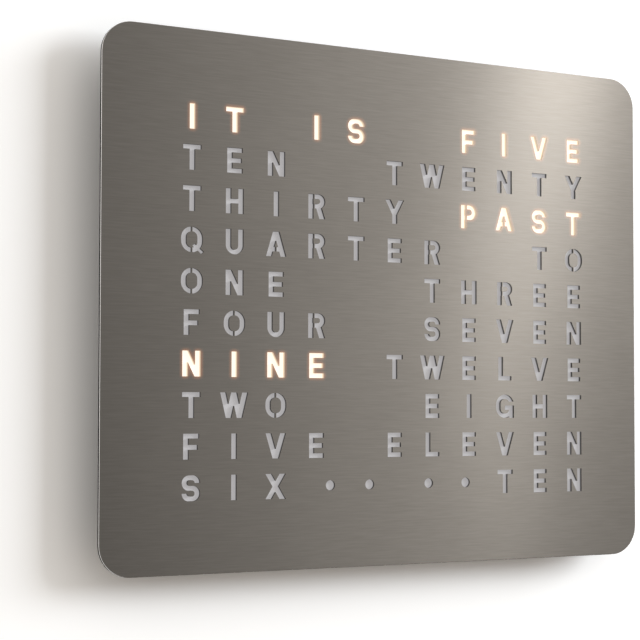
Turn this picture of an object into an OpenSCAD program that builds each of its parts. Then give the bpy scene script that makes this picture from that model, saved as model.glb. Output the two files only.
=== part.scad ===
// Wall clock that tells the time in words. A thick steel face plate with cut-out
// letters floats in front of a smaller black housing, which hangs on a wall bracket.
// The origin is on the wall, behind the middle of the plate. X points right, Z points
// up and the front faces -Y, so a depth of 10 mm off the wall is y = -10.

/* [Face plate] */
// Width of the face plate
plate_w = 500; // [470:5:700]
// Height of the face plate
plate_h = 425; // [400:5:600]
// Thickness of the face plate
plate_t = 3; // [2:0.5:6]
// Corner radius of the face plate
plate_r = 25; // [5:1:60]

/* [Lettering] */
// Height of a letter
cap_h = 20; // [16:0.5:24]
// Width of an upright stroke
stem = 4.6; // [3.4:0.1:5]
// Height of a level stroke
bar = 3.7; // [3:0.1:4.4]
// Width of the thin bridges that hold the islands inside closed letters
bridge_w = 0.8; // [0.5:0.1:1.5]
// Width of narrow letters, such as E, F and L
narrow_w = 13.2; // [12:0.2:16]
// Width of most letters, such as H, N, T and U
letter_w = 15.2; // [14:0.2:18]
// Width of round letters, such as O and Q
round_w = 18.2; // [16:0.2:20]
// Width of letters with slanted strokes, such as A, V, X and Y
slant_w = 17.8; // [16:0.2:20]
// Width of the W
broad_w = 23.8; // [22:0.2:26]
// Diameter of the four minute dots
dot_d = 8.2; // [5:0.2:12]
// Distance between the middles of two columns of letters
col_pitch = 36; // [33:0.5:38]
// Distance between the middles of two rows of letters
row_pitch = 32.2; // [30:0.2:34]
// How far the lettering sits to the right of the plate's middle
text_right = 4; // [0:0.5:6]
// How far the lettering sits below the plate's middle
text_down = 1; // [0:0.5:4]

/* [Housing] */
// Distance from the outer letter cells to the outside of the housing
side_margin = 24; // [22:0.5:28]
// Thickness of the sheet metal of the housing
sheet_t = 1.5; // [1:0.1:2.5]
// Free depth for electronics between the rear cover and the LED panel
board_space = 7; // [6.5:0.5:15]
// Thickness of the LED panel and of the control board
pcb_t = 1.6; // [1:0.1:2]
// Depth of the light grid
grid_depth = 8; // [5:0.5:20]
// Thickness of the walls of the light grid
grid_wall = 1.2; // [0.6:0.1:3]
// Thickness of the opal diffuser sheet
diffuser_t = 2; // [1:0.25:4]
// How far the diffuser reaches past the letter cells
diffuser_lap = 2; // [0.5:0.25:4]
// Height of the foam light seal, compressed
seal_t = 2; // [1.2:0.1:4]
// Width of the foam light seal
seal_w = 3; // [2:0.25:4]
// Diameter of a holding magnet
magnet_d = 10; // [6:0.5:11]
// Diameter of the locating studs on the back of the plate
stud_d = 5; // [3:0.5:8]
// How far the locating studs reach into the housing
stud_reach = 6; // [4:0.5:8]

/* [Wall bracket] */
// Distance between the bracket's slots across
fix_w = 200; // [120:5:260]
// Distance between the bracket's slots up and down
fix_h = 100; // [60:5:110]
// From the middle of a slot to the bracket's side
fix_side = 20; // [12:1:30]
// From the middle of a slot to the bracket's foot
fix_foot = 25; // [12:1:30]
// Thickness of the bracket and of the hanging rail
rail_t = 2; // [1.5:0.1:3]
// Play around the hooked lips
rail_gap = 0.2; // [0.1:0.05:0.5]
// Height of the bracket's hook
hook_h = 14; // [8:1:20]
// Width of a slot for a wall screw
slot_w = 5.5; // [4:0.1:7]
// Length of a slot for a wall screw
slot_l = 12; // [8:0.5:16]
// Diameter of the rubber wall bumpers
bumper_d = 12; // [8:0.5:20]

/* [Electronics and buttons] */
// Width of the control board
board_w = 100; // [96:1:120]
// Height of the control board
board_h = 52; // [50:1:60]
// Length of one LED package, which is square
led_w = 5; // [2:0.5:6]
// Diameter of a button
button_d = 5; // [3:0.5:7]
// How far a button stands out of the housing
button_proud = 2.5; // [1:0.25:5]
// Travel of a button
button_travel = 1; // [0.5:0.1:1.2]
// Distance between two buttons
button_pitch = 14; // [13:0.5:18]
// Diameter of the hole for the power plug
inlet_d = 9; // [7:0.5:11]

/* [Hidden] */
$fn = 48;

// Slanted strokes are this wide, measured along a level line
arm = stem * 1.1;
// Short flat that a round end keeps
flat = 0.1;

// Words on the plate: text, first column and row, both counted from 0
WORDS = [
    ["IT", 0, 0], ["IS", 3, 0], ["FIVE", 7, 0],
    ["TEN", 0, 1], ["TWENTY", 5, 1],
    ["THIRTY", 0, 2], ["PAST", 7, 2],
    ["QUARTER", 0, 3], ["TO", 9, 3],
    ["ONE", 0, 4], ["THREE", 6, 4],
    ["FOUR", 0, 5], ["SEVEN", 6, 5],
    ["NINE", 0, 6], ["TWELVE", 5, 6],
    ["TWO", 0, 7], ["EIGHT", 6, 7],
    ["FIVE", 0, 8], ["ELEVEN", 5, 8],
    ["SIX", 0, 9], ["TEN", 8, 9]
];
col_count = 11;
row_count = 10;
// Columns of the minute dots in the last row, each well inside its own cell
dot_cols = [3.35, 4.35, 5.9, 6.9];

// Small clearances
slip = 0.3;        // between pieces that pass each other
thread_slip = 0.05; // between a screw and its tapped hole, on the diameter
hole_slip = 0.4;   // between a screw or stud and a plain hole, on the diameter
rivet_slip = 0.1;  // between a rivet and its hole, on the diameter
over = 1;          // how far a cut runs past the piece it cuts

// Depths off the wall, from the back to the front
cover_back = 3 * (rail_t + rail_gap);
cover_front = cover_back + sheet_t;
panel_back = cover_front + board_space;
panel_front = panel_back + pcb_t;
grid_front = panel_front + grid_depth;
plate_back = grid_front + slip + diffuser_t;
plate_front = plate_back + plate_t;
flange_front = plate_back - seal_t;
flange_back = flange_front - sheet_t;

// Outline of the housing and of the window in its front flange
cells_w = col_count * col_pitch;
cells_h = row_count * row_pitch;
housing_w = cells_w + 2 * side_margin;
housing_h = cells_h + 2 * side_margin;
inner_w = housing_w - 2 * sheet_t;
inner_h = housing_h - 2 * sheet_t;
diffuser_w = cells_w + 2 * diffuser_lap;
diffuser_h = cells_h + 2 * diffuser_lap;
window_slip = 1;
window_w = diffuser_w + 2 * (text_right + window_slip);
window_h = diffuser_h + 2 * (text_down + window_slip);

// Corner blocks fill the corners between the window and the walls
block_w = (inner_w - window_w) / 2;
block_h = (inner_h - window_h) / 2;
block_x = inner_w / 2 - block_w / 2;
block_z = inner_h / 2 - block_h / 2;

// Magnets lie between the seal and the outside of the housing
seal_in = 1;
magnet_gap = 0.1;
magnet_x = (window_w / 2 + seal_in + seal_w + housing_w / 2) / 2;
magnet_z = (window_h / 2 + seal_in + seal_w + housing_h / 2) / 2;
magnet_side_z = 90;
magnet_top_x = 120;

// Screws: shank, head and head height
screw_d = 3;
screw_head_d = 5.6;
screw_head_h = 1.8;
screw_depth = 7;
small_screw_d = 2.5;
small_head_d = 4.5;
small_head_h = 1.6;
small_depth = 4;

// LED panel and its standoffs
panel_slip = 0.5;
panel_w = inner_w - 2 * panel_slip;
panel_h = window_h - 2 * panel_slip;
panel_post_x = (window_w + inner_w) / 4;
panel_post_z = 140;
panel_post_d = 6;
led_h = 1.6;

// Control board, which stands on the rear cover near the housing's bottom wall
board_lift = 2;
board_back = cover_front + board_lift;
board_front = board_back + pcb_t;
board_foot_gap = 3.5;
wall_z = -inner_h / 2;
board_z = wall_z + board_foot_gap;
board_side = board_w / 2;
board_post_inset = 4;
board_post_up = 5;
board_post_d = 5;
post_bottom = 0.2;
post_screw_gap = 0.2;

// Right-angle key switches and the buttons that press them
switch_w = 6;
switch_deep = 7;
switch_h = 3.5;
key_y = -(board_front + switch_deep / 2);
switch_up = 0.5;
switch_z = board_z + switch_up;
plunger_d = 3.4;
plunger_in = 1.2;
key_inset = 14;
key_x = key_inset - board_side;
button_x = [key_x, key_x + button_pitch, key_x + 2 * button_pitch];
collar_w = 1.5;
collar_h = 1;
collar_gap = 0.1;
collar_top = wall_z + collar_gap + collar_h;
push_l = 1.4;
push_top = collar_top + push_l;

// Power jack
jack_w = 9;
jack_deep = 6.5;
jack_l = 14;
jack_bore = 6.3;
jack_bore_l = 10;
jack_pin_d = 2.1;
jack_pin_inset = 1;
jack_inset = 16;
jack_x = board_side - jack_inset;
jack_y = -(board_front + jack_deep / 2);

// Insert in the housing's bottom wall, with the holes for the buttons and the plug
port_side = 2;
port_w = board_w + 2 * port_side;
port_gap = 0.2;
port_lip = 3;
port_lip_t = 1;

// Small parts on the board, with x from its middle and z from its bottom edge
module_size = [25.5, 2.8, 18];
module_side = 4;
module_down = 10;
module_x = module_side - board_side;
module_z = board_h - module_down - module_size[2];
chip_size = [10.3, 2.3, 7.5];
chip_x = -12;
chip_z = 30;
coin_d = 12.5;
coin_t = 2;
holder_d = 16;
holder_t = 2.6;
coin_x = 12;
coin_z = 34;
cap_d = 8;
cap_l = 12;
cap_x = 12;
cap_z = 8;
header_size = [12, 2.5, 5];
header_inset = 18;
header_down = 9;
header_x = board_side - header_inset;
header_z = board_h - header_down - header_size[2];
panel_header_up = 6;
panel_header_z = board_h + panel_header_up;
cable_t = 0.8;
cable_w = 9;

// Wall bracket, and above its hook the hanging rail
bracket_w = fix_w + 2 * fix_side;
foot_z = -fix_h / 2 - fix_foot;
hook_z = fix_h / 2 + fix_foot;
hook_top = hook_z + hook_h;
hook_slip = 1;
rail_web_z = hook_top + hook_slip;
rail_base_h = 28;
rivet_d = 4;
rivet_head_d = 8;
rivet_head_h = 1.5;
rivet_inset = 20;
rivet_mid = 36;
rivet_x = [rivet_inset - bracket_w / 2, -rivet_mid, rivet_mid, bracket_w / 2 - rivet_inset];
rivet_z = rail_web_z + (rail_t + rail_base_h) / 2;
bumper_x = 150;
bumper_up = 45;
bumper_z = bumper_up - housing_h / 2;

// ---- Helpers ---------------------------------------------------------------

// A flat sheet, centred on x and z, from one depth off the wall to another
module sheet(w, h, near, far) {
    translate([-w / 2, -far, -h / 2])
        cube([w, far - near, h]);
}

// An outline drawn in x and z, made solid from one depth to another
module profile(near, far) {
    translate([0, -near, 0])
        rotate([90, 0, 0])
            linear_extrude(far - near)
                children();
}

// A round bar square to the wall
module rod_y(d, near, far) {
    translate([0, -near, 0])
        rotate([90, 0, 0])
            cylinder(d = d, h = far - near);
}

// The children at all four corners of a rectangle with half sides x and z
module corners(x, z) {
    for (side = [-1, 1])
        for (level = [-1, 1])
            translate([side * x, 0, level * z])
                children();
}

module rounded_rect(w, h, r) {
    square([w - 2 * r, h], center = true);
    square([w, h - 2 * r], center = true);
    for (side = [-1, 1])
        for (level = [-1, 1])
            translate([side * (w / 2 - r), level * (h / 2 - r)])
                circle(r = r, $fn = 96);
}

// A slot with round ends, along x
module slot(length, width) {
    square([length - width, width], center = true);
    for (side = [-1, 1])
        translate([side * (length - width) / 2, 0])
            circle(d = width);
}

// ---- Letterforms, each with its lower left corner at the origin --------------

// A box from x1 to x2 and y1 to y2 with its shorter sides fully round
module loop(x1, x2, y1, y2) {
    w = x2 - x1;
    h = y2 - y1;
    translate([(x1 + x2) / 2, (y1 + y2) / 2])
        rounded_rect(w, h, (min(w, h) - flat) / 2);
}

module ring_o(w) {
    difference() {
        loop(0, w, 0, cap_h);
        loop(stem, w - stem, bar, cap_h - bar);
    }
}

// Thin bridge, left standing in the plate, across the level strokes at x
module bridge(x, y1, y2) {
    translate([x - bridge_w / 2, y1 - over])
        square([bridge_w, y2 - y1 + 2 * over]);
}

module upright(x) {
    translate([x, 0]) square([stem, cap_h]);
}

// Level stroke of a given width, from its lower left corner
module level_bar(x, y, w) {
    translate([x, y]) square([w, bar]);
}

module glyph_a() {
    w = slant_w;
    tip = stem * 0.62;
    lean = (w / 2 - tip) / cap_h;
    y1 = cap_h * 0.2;
    y2 = y1 + bar;
    b = bridge_w / 2;
    polygon([
        [0, 0], [w / 2 - tip, cap_h], [w / 2 + tip, cap_h], [w, 0], [w - arm, 0],
        [w - arm - lean * y1, y1], [w / 2 + b, y1], [w / 2 + b, y2],
        [w - arm - lean * y2, y2], [w / 2, (w / 2 - arm) / lean], [arm + lean * y2, y2],
        [w / 2 - b, y2], [w / 2 - b, y1], [arm + lean * y1, y1], [arm, 0]
    ]);
}

module glyph_e() {
    mid_short = narrow_w * 0.06;
    upright(0);
    level_bar(0, 0, narrow_w);
    level_bar(0, (cap_h - bar) / 2, narrow_w - mid_short);
    level_bar(0, cap_h - bar, narrow_w);
}

module glyph_f() {
    mid_short = narrow_w * 0.09;
    upright(0);
    level_bar(0, cap_h * 0.38, narrow_w - mid_short);
    level_bar(0, cap_h - bar, narrow_w);
}

module glyph_g() {
    w = round_w;
    mid = cap_h * 0.53;
    lip = cap_h * 0.17;
    difference() {
        ring_o(w);
        translate([w / 2, mid - bar]) square([w, bar + lip]);
    }
    level_bar(w / 2, mid - bar, w / 2);
    translate([w - stem, 0]) square([stem, mid]);
}

module glyph_h() {
    upright(0);
    upright(letter_w - stem);
    level_bar(0, (cap_h - bar) / 2, letter_w);
}

module glyph_i() {
    upright(0);
}

module glyph_l() {
    upright(0);
    level_bar(0, 0, narrow_w);
}

module glyph_n() {
    w = letter_w;
    fall = cap_h / (w - arm);
    polygon([
        [0, 0], [0, cap_h], [arm, cap_h], [w - stem, cap_h - fall * (w - stem - arm)],
        [w - stem, cap_h], [w, cap_h], [w, 0], [w - arm, 0],
        [stem, cap_h - fall * stem], [stem, 0]
    ]);
}

module glyph_o() {
    difference() {
        ring_o(round_w);
        bridge(round_w / 2, 0, cap_h);
    }
}

// Stem and bowl, which P and R share. y0 is the foot of the bowl
module bowl(y0) {
    w = letter_w;
    difference() {
        union() {
            upright(0);
            loop(0, w, y0, cap_h);
            translate([0, y0]) square([w / 2, cap_h - y0]);
        }
        loop(stem, w - stem, y0 + bar, cap_h - bar);
        translate([stem, y0 + bar]) square([w / 2 - stem, cap_h - y0 - 2 * bar]);
        bridge(stem + bridge_w, y0, cap_h);
    }
}

module glyph_p() {
    bowl(cap_h * 0.37);
}

module glyph_q() {
    tail_y = cap_h * 0.35;
    tail_foot = -cap_h * 0.06;
    glyph_o();
    polygon([
        [round_w * 0.52, tail_y - bar / 2], [round_w * 0.64, tail_y],
        [round_w * 1.05, tail_foot + bar / 2], [round_w * 0.93, tail_foot]
    ]);
}

module glyph_r() {
    y0 = cap_h * 0.42;
    hip = letter_w * 0.42;
    leg = stem * 1.15;
    bowl(y0);
    polygon([
        [hip, y0 + bar / 2], [hip + leg, y0 + bar / 2], [letter_w, 0], [letter_w - leg, 0]
    ]);
}

// Upper half of the S. Turned round, it is the lower half
module s_hook(w) {
    y0 = (cap_h - bar) / 2;
    y_end = (cap_h + y0) / 2;
    difference() {
        loop(0, w, y0, cap_h);
        loop(stem, w - stem, y0 + bar, cap_h - bar);
        translate([w / 2, y0 - over]) square([w, y_end - y0 + over]);
    }
}

module glyph_s() {
    s_hook(letter_w);
    translate([letter_w, cap_h]) rotate(180) s_hook(letter_w);
}

module glyph_t() {
    level_bar(0, cap_h - bar, letter_w);
    upright((letter_w - stem) / 2);
}

module glyph_u() {
    w = letter_w;
    difference() {
        loop(0, w, 0, cap_h + w);
        loop(stem, w - stem, bar, cap_h + w);
        translate([-over, cap_h]) square([w + 2 * over, w + over]);
    }
}

// A V of any width, of which W has two
module slanted_v(w, tip) {
    notch = cap_h * (arm - tip) / (w / 2 - tip);
    polygon([
        [0, cap_h], [arm, cap_h], [w / 2, notch], [w - arm, cap_h], [w, cap_h],
        [w / 2 + tip, 0], [w / 2 - tip, 0]
    ]);
}

module glyph_v() {
    slanted_v(slant_w, stem * 0.6);
}

module glyph_w() {
    half_w = (broad_w + arm) / 2;
    tip = stem * 0.52;
    slanted_v(half_w, tip);
    translate([broad_w - half_w, 0]) slanted_v(half_w, tip);
}

module glyph_x() {
    w = slant_w;
    leg = stem * 1.2;
    notch = cap_h - (w / 2 - leg) * cap_h / (w - leg);
    polygon([
        [0, 0], [(w - leg) / 2, cap_h / 2], [0, cap_h], [leg, cap_h], [w / 2, notch],
        [w - leg, cap_h], [w, cap_h], [(w + leg) / 2, cap_h / 2], [w, 0], [w - leg, 0],
        [w / 2, cap_h - notch], [leg, 0]
    ]);
}

module glyph_y() {
    w = slant_w;
    fork = cap_h * 0.38;
    x1 = (w - stem) / 2;
    x2 = (w + stem) / 2;
    lean = x1 / (cap_h - fork);
    polygon([
        [0, cap_h], [arm, cap_h], [w / 2, cap_h - (w / 2 - arm) / lean], [w - arm, cap_h],
        [w, cap_h], [x2, fork], [x2, 0], [x1, 0], [x1, fork]
    ]);
}

// Width that a letter takes, for centring it in its column
function glyph_width(c) =
    c == "I" ? stem :
    c == "E" || c == "F" || c == "L" ? narrow_w :
    c == "G" || c == "O" || c == "Q" ? round_w :
    c == "A" || c == "V" || c == "X" || c == "Y" ? slant_w :
    c == "W" ? broad_w : letter_w;

module glyph(c) {
    if (c == "A") glyph_a();
    if (c == "E") glyph_e();
    if (c == "F") glyph_f();
    if (c == "G") glyph_g();
    if (c == "H") glyph_h();
    if (c == "I") glyph_i();
    if (c == "L") glyph_l();
    if (c == "N") glyph_n();
    if (c == "O") glyph_o();
    if (c == "P") glyph_p();
    if (c == "Q") glyph_q();
    if (c == "R") glyph_r();
    if (c == "S") glyph_s();
    if (c == "T") glyph_t();
    if (c == "U") glyph_u();
    if (c == "V") glyph_v();
    if (c == "W") glyph_w();
    if (c == "X") glyph_x();
    if (c == "Y") glyph_y();
}

// Middle of a letter cell. The column and the row may be fractions
function cell_x(col) = text_right + (col - (col_count - 1) / 2) * col_pitch;
function cell_z(row) = -text_down + ((row_count - 1) / 2 - row) * row_pitch;

module words() {
    for (word = WORDS)
        for (i = [0 : len(word[0]) - 1])
            translate([
                cell_x(word[1] + i) - glyph_width(word[0][i]) / 2,
                cell_z(word[2]) - cap_h / 2
            ])
                glyph(word[0][i]);
}

module minute_dots() {
    for (col = dot_cols)
        translate([cell_x(col), cell_z(row_count - 1)])
            circle(d = dot_d);
}

// ---- Front: the plate, which pulls off towards the room ----------------------

module face_plate() {
    color("#77736d")
        difference() {
            profile(plate_back, plate_front)
                rounded_rect(plate_w, plate_h, plate_r);
            profile(plate_back - over, plate_front + over)
                words();
            profile(plate_back - over, plate_front + over)
                minute_dots();
        }
}

// Opal sheet, bonded to the back of the plate behind all the letters
module diffuser() {
    color("#cfcfd6")
        translate([text_right, 0, -text_down])
            sheet(diffuser_w, diffuser_h, plate_back - diffuser_t, plate_back);
}

module locating_studs() {
    color("#b8b8b8")
        corners(block_x, block_z)
            rod_y(stud_d, flange_front - stud_reach, plate_back);
}

// ---- Housing -----------------------------------------------------------------

module frame_ring() {
    difference() {
        sheet(housing_w, housing_h, cover_front, flange_front);
        sheet(inner_w, inner_h, cover_front - over, flange_back);
        sheet(window_w, window_h, flange_back - over, flange_front + over);
    }
}

module corner_block() {
    sheet(block_w, block_h, cover_front, flange_back);
}

module housing_frame() {
    color("#202022")
        difference() {
            union() {
                frame_ring();
                corners(block_x, block_z)
                    corner_block();
            }
            corners(block_x, block_z) {
                rod_y(stud_d + hole_slip, flange_front - stud_reach - slip,
                      flange_front + over);
                rod_y(screw_d + thread_slip, cover_front - over,
                      cover_front + screw_depth - sheet_t);
            }
            translate([0, 0, wall_z])
                sheet(port_w + 2 * port_gap, 2 * (sheet_t + over), cover_front - over, flange_back);
        }
}

// Moulded insert in the bottom wall. Its lips lie on the inside of the sheet metal
module port_panel() {
    color("#1b1b1d")
        difference() {
            union() {
                translate([0, 0, wall_z - sheet_t / 2])
                    sheet(port_w, sheet_t, cover_front, flange_back);
                for (side = [-1, 1])
                    translate([side * port_w / 2, 0, wall_z + port_lip_t / 2])
                        sheet(2 * port_lip, port_lip_t, cover_front, flange_back);
            }
            for (x = button_x)
                translate([x, key_y, -housing_h / 2 - over])
                    cylinder(d = button_d + 2 * slip, h = sheet_t + 2 * over);
            translate([jack_x, jack_y, -housing_h / 2 - over])
                cylinder(d = inlet_d, h = sheet_t + 2 * over);
        }
}

module rear_cover() {
    color("#202022")
        difference() {
            sheet(housing_w, housing_h, cover_back, cover_front);
            corners(block_x, block_z)
                rod_y(screw_d + hole_slip, cover_back - over, cover_front + over);
            at_rivets()
                rod_y(rivet_d + rivet_slip, cover_back - over, cover_front + over);
        }
}

module cover_screws() {
    color("#8f8f92")
        corners(block_x, block_z) {
            rod_y(screw_d, cover_back, cover_front + screw_depth - sheet_t - slip);
            rod_y(screw_head_d, cover_back - screw_head_h, cover_back);
        }
}

module wall_bumpers() {
    color("#1a1a1a")
        for (side = [-1, 1])
            translate([side * bumper_x, 0, bumper_z])
                rod_y(bumper_d, 0, cover_back);
}

module magnets() {
    color("#c0c2c6")
        for (spot = [[magnet_x, magnet_side_z], [magnet_top_x, magnet_z]])
            corners(spot[0], spot[1])
                rod_y(magnet_d, flange_front, plate_back - magnet_gap);
}

module foam_seal() {
    color("#2b2b2b")
        difference() {
            sheet(window_w + 2 * (seal_in + seal_w), window_h + 2 * (seal_in + seal_w),
                  flange_front, plate_back);
            sheet(window_w + 2 * seal_in, window_h + 2 * seal_in,
                  flange_front - over, plate_back + over);
        }
}

// ---- Light engine ------------------------------------------------------------

module light_grid() {
    color("#f2f2f0")
        difference() {
            translate([text_right, 0, -text_down])
                sheet(cells_w + grid_wall, cells_h + grid_wall, panel_front, grid_front);
            for (col = [0 : col_count - 1])
                for (row = [0 : row_count - 1])
                    translate([cell_x(col), 0, cell_z(row)])
                        sheet(col_pitch - grid_wall, row_pitch - grid_wall,
                              panel_front - over, grid_front + over);
        }
}

module at_panel_posts() {
    for (side = [-1, 1])
        for (z = [-panel_post_z, 0, panel_post_z])
            translate([side * panel_post_x, 0, z])
                children();
}

module led_panel() {
    color("#e8e8e4")
        difference() {
            sheet(panel_w, panel_h, panel_back, panel_front);
            at_panel_posts()
                rod_y(small_screw_d + hole_slip, panel_back - over, panel_front + over);
        }
}

module leds() {
    color("#f4e9c8")
        for (col = [0 : col_count - 1])
            for (row = [0 : row_count - 1])
                translate([cell_x(col), 0, cell_z(row)])
                    sheet(led_w, led_w, panel_front, panel_front + led_h);
}

module panel_standoffs() {
    color("#b5b5b8")
        difference() {
            at_panel_posts()
                rod_y(panel_post_d, cover_front, panel_back);
            at_panel_posts()
                rod_y(small_screw_d + thread_slip, panel_back - small_depth,
                      panel_back + over);
        }
}

module panel_screws() {
    color("#8f8f92")
        at_panel_posts() {
            rod_y(small_screw_d, panel_back - small_depth + slip, panel_front);
            rod_y(small_head_d, panel_front, panel_front + small_head_h);
        }
}

// ---- Control board and what it carries ----------------------------------------

module at_board_posts() {
    for (side = [-1, 1])
        for (z = [board_post_up, board_h - board_post_inset])
            translate([side * (board_w / 2 - board_post_inset), 0, board_z + z])
                children();
}

module control_board() {
    color("#1f5c3a")
        difference() {
            translate([0, 0, board_z + board_h / 2])
                sheet(board_w, board_h, board_back, board_front);
            at_board_posts()
                rod_y(small_screw_d + hole_slip, board_back - over, board_front + over);
        }
}

module board_standoffs() {
    color("#b5b5b8")
        difference() {
            at_board_posts()
                rod_y(board_post_d, cover_front, board_back);
            at_board_posts()
                rod_y(small_screw_d + thread_slip, cover_front + post_bottom, board_back + over);
        }
}

module board_screws() {
    color("#8f8f92")
        at_board_posts() {
            rod_y(small_screw_d, cover_front + post_bottom + post_screw_gap, board_front);
            rod_y(small_head_d, board_front, board_front + small_head_h);
        }
}

// A box on the front of the board, from its lower left corner
module board_box(x, z, size) {
    translate([x, -board_front - size[1], board_z + z])
        cube(size);
}

module controller_module() {
    color("#9a9da1")
        board_box(module_x, module_z, module_size);
}

module clock_chip() {
    color("#18181a")
        board_box(chip_x, chip_z, chip_size);
}

module coin_cell_holder() {
    color("#2a2a2c")
        translate([coin_x, 0, board_z + coin_z])
            difference() {
                rod_y(holder_d, board_front, board_front + holder_t);
                rod_y(coin_d + slip, board_front + holder_t - coin_t,
                      board_front + holder_t + over);
            }
}

module coin_cell() {
    color("#d2d4d6")
        translate([coin_x, 0, board_z + coin_z])
            rod_y(coin_d, board_front + holder_t - coin_t, board_front + holder_t);
}

module capacitor() {
    color("#24345e")
        translate([cap_x, -board_front - cap_d / 2, board_z + cap_z])
            rotate([0, 90, 0])
                cylinder(d = cap_d, h = cap_l, center = true);
}

module power_jack() {
    color("#161617")
        difference() {
            translate([jack_x - jack_w / 2, jack_y - jack_deep / 2, wall_z + slip])
                cube([jack_w, jack_deep, jack_l]);
            translate([jack_x, jack_y, wall_z - over])
                cylinder(d = jack_bore, h = jack_bore_l + slip + over);
        }
}

module jack_pin() {
    color("#c9b26a")
        translate([jack_x, jack_y, wall_z + jack_pin_inset])
            cylinder(d = jack_pin_d, h = jack_bore_l + slip - jack_pin_inset);
}

module key_switches() {
    color("#1c1c1e")
        for (x = button_x)
            translate([x, 0, switch_z])
                difference() {
                    translate([-switch_w / 2, -board_front - switch_deep, 0])
                        cube([switch_w, switch_deep, switch_h]);
                    translate([0, key_y, -over])
                        cylinder(d = plunger_d + slip, h = over + plunger_in + button_travel + slip);
                }
}

module board_header() {
    color("#efece0")
        board_box(header_x - header_size[0] / 2, header_z, header_size);
}

module panel_header() {
    color("#efece0")
        translate([header_x - header_size[0] / 2, -panel_back, board_z + panel_header_z])
            cube(header_size);
}

// Flat lead from the top of one header to the foot of the other
module led_cable() {
    y1 = -(board_front + header_size[1] / 2);
    y2 = -(panel_back - header_size[1] / 2);
    z1 = board_z + header_z + header_size[2];
    z2 = board_z + panel_header_z;
    bend = 3;
    color("#a8a8a6")
        translate([header_x - cable_w / 2, 0, 0])
            rotate([90, 0, 90])
                linear_extrude(cable_w)
                    polygon([
                        [y1 - cable_t / 2, z1], [y1 + cable_t / 2, z1],
                        [y1 + cable_t / 2, z1 + bend], [y2 + cable_t / 2, z2 - bend],
                        [y2 + cable_t / 2, z2], [y2 - cable_t / 2, z2],
                        [y2 - cable_t / 2, z2 - bend], [y1 - cable_t / 2, z1 + bend]
                    ]);
}

// ---- Buttons in the bottom wall ------------------------------------------------

module push_button(x) {
    translate([x, key_y, 0]) {
        translate([0, 0, -housing_h / 2 - button_proud])
            cylinder(d = button_d, h = sheet_t + button_proud + collar_gap);
        translate([0, 0, wall_z + collar_gap])
            cylinder(d = button_d + 2 * collar_w, h = collar_h);
        translate([0, 0, collar_top])
            cylinder(d = plunger_d, h = push_top - collar_top);
    }
}

module plunger(x) {
    translate([x, key_y, push_top])
        cylinder(d = plunger_d, h = switch_z + plunger_in - push_top);
}

module hour_button() {
    color("#2e2e31") push_button(button_x[0]);
}

module minute_button() {
    color("#2e2e31") push_button(button_x[1]);
}

module mode_button() {
    color("#2e2e31") push_button(button_x[2]);
}

module hour_plunger() {
    color("#b04030") plunger(button_x[0]);
}

module minute_plunger() {
    color("#b04030") plunger(button_x[1]);
}

module mode_plunger() {
    color("#b04030") plunger(button_x[2]);
}

// ---- Wall bracket and hanging rail ---------------------------------------------

// A section drawn in y and z, made solid along x
module section_x(length) {
    translate([-length / 2, 0, 0])
        rotate([90, 0, 90])
            linear_extrude(length)
                children();
}

module wall_bracket() {
    lip_back = -(rail_t + 2 * rail_gap);
    color("#a9abad")
        difference() {
            section_x(bracket_w)
                polygon([
                    [0, foot_z], [0, hook_z], [lip_back, hook_z], [lip_back, hook_top],
                    [lip_back - rail_t, hook_top], [lip_back - rail_t, hook_z - rail_t],
                    [-rail_t, hook_z - rail_t], [-rail_t, foot_z]
                ]);
            for (side = [-1, 1])
                for (level = [-1, 1])
                    profile(-over, rail_t + over)
                        translate([side * fix_w / 2, level * fix_h / 2])
                            slot(slot_l, slot_w);
        }
}

module at_rivets() {
    for (x = rivet_x)
        translate([x, 0, rivet_z])
            children();
}

module hanging_rail() {
    base_back = -(cover_back - rail_t);
    color("#a9abad")
        difference() {
            section_x(bracket_w)
                polygon([
                    [-rail_gap, hook_z], [-rail_gap, rail_web_z + rail_t],
                    [base_back, rail_web_z + rail_t], [base_back, rail_web_z + rail_base_h],
                    [-cover_back, rail_web_z + rail_base_h], [-cover_back, rail_web_z],
                    [-rail_gap - rail_t, rail_web_z], [-rail_gap - rail_t, hook_z]
                ]);
            at_rivets()
                rod_y(rivet_d + rivet_slip, 0, cover_front);
        }
}

module rail_rivets() {
    color("#c4c6c8")
        at_rivets() {
            rod_y(rivet_d, cover_back - rail_t, cover_front);
            rod_y(rivet_head_d, cover_back - rail_t - rivet_head_h, cover_back - rail_t);
            rod_y(rivet_head_d, cover_front, cover_front + rivet_head_h);
        }
}

wall_bracket();
hanging_rail();
rail_rivets();
rear_cover();
housing_frame();
port_panel();
cover_screws();
wall_bumpers();
magnets();
foam_seal();
light_grid();
led_panel();
leds();
panel_standoffs();
panel_screws();
control_board();
board_standoffs();
board_screws();
controller_module();
clock_chip();
coin_cell_holder();
coin_cell();
capacitor();
power_jack();
jack_pin();
key_switches();
board_header();
panel_header();
led_cable();
face_plate();
diffuser();
locating_studs();
hour_button();
minute_button();
mode_button();
hour_plunger();
minute_plunger();
mode_plunger();
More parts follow.
